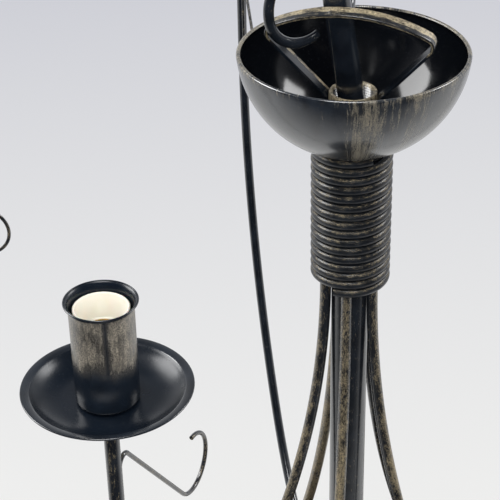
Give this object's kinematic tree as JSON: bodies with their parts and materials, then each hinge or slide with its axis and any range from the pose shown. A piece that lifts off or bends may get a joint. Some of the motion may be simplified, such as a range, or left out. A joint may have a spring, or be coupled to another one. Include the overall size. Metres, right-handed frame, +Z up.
{
  "type": "chandelier",
  "caption": "Hanging wrought-iron chandelier: leaning stem with scrolls, bowl, wire-wound column with stay rods, and curved arms with drip pans and candle cups.",
  "frame": {"origin": "hang point, the top of the hole in the hanging ring", "axes": "+Z up along the column, -Y to the front"},
  "size_m": [0.7334, 0.7497, 0.8589],
  "materials": {
    "brushed_iron": "gloss black paint, dry-brushed with pale gold",
    "bowl_lacquer": "gloss black lacquer, brushed with gold and silver outside",
    "gilded_iron": "black paint heavily dry-brushed with pale gold",
    "steel": "plain turned steel",
    "shell_brass": "stamped brass",
    "holder_plastic": "moulded off-white thermoplastic"
  },
  "bodies": {
    "ring": {"hanging_ring": "brushed_iron"},
    "stem": {"stem_tube": "brushed_iron", "stem_eye": "brushed_iron", "scroll_front": "brushed_iron", "scroll_back": "brushed_iron"},
    "lamp": {"stem_pin": "steel", "bowl": "bowl_lacquer", "pipe_socket": "brushed_iron", "strap_loop": "brushed_iron", "bowl_washer": "steel", "column_tube": "brushed_iron", "coil": "brushed_iron", "lower_dish": "bowl_lacquer", "dish_washer": "steel", "arm_hub": "brushed_iron", "finial": "brushed_iron", "screw_shells": "shell_brass", "centre_contacts": "shell_brass", "stay_rod_1": "brushed_iron", "stay_rod_2": "brushed_iron", "stay_rod_3": "brushed_iron", "stay_rod_4": "brushed_iron", "stay_rod_5": "brushed_iron", "arm_1": "brushed_iron", "arm_2": "brushed_iron", "arm_3": "brushed_iron", "arm_4": "brushed_iron", "arm_5": "brushed_iron", "wire_scroll_1": "brushed_iron", "wire_scroll_2": "brushed_iron", "wire_scroll_3": "brushed_iron", "wire_scroll_4": "brushed_iron", "wire_scroll_5": "brushed_iron", "pan_collar_1": "brushed_iron", "pan_collar_2": "brushed_iron", "pan_collar_3": "brushed_iron", "pan_collar_4": "brushed_iron", "pan_collar_5": "brushed_iron", "drip_pan_1": "gilded_iron", "drip_pan_2": "gilded_iron", "drip_pan_3": "gilded_iron", "drip_pan_4": "gilded_iron", "drip_pan_5": "gilded_iron", "candle_cup_1": "gilded_iron", "candle_cup_2": "gilded_iron", "candle_cup_3": "gilded_iron", "candle_cup_4": "gilded_iron", "candle_cup_5": "gilded_iron", "lamp_holder_1": "holder_plastic", "lamp_holder_2": "holder_plastic", "lamp_holder_3": "holder_plastic", "lamp_holder_4": "holder_plastic", "lamp_holder_5": "holder_plastic"}
  },
  "joints": [
    {"name": "ring_swing", "type": "hinge", "parent": "ring", "child": "stem", "pos_m": [0, 0, -0.0347], "axis": [1, 0, 0], "range_deg": [-30, 30]},
    {"name": "column_swing", "type": "hinge", "parent": "stem", "child": "lamp", "pos_m": [0.03444, 0, -0.27714], "axis": [0, -1, 0], "range_deg": [-4, 10]}
  ]
}
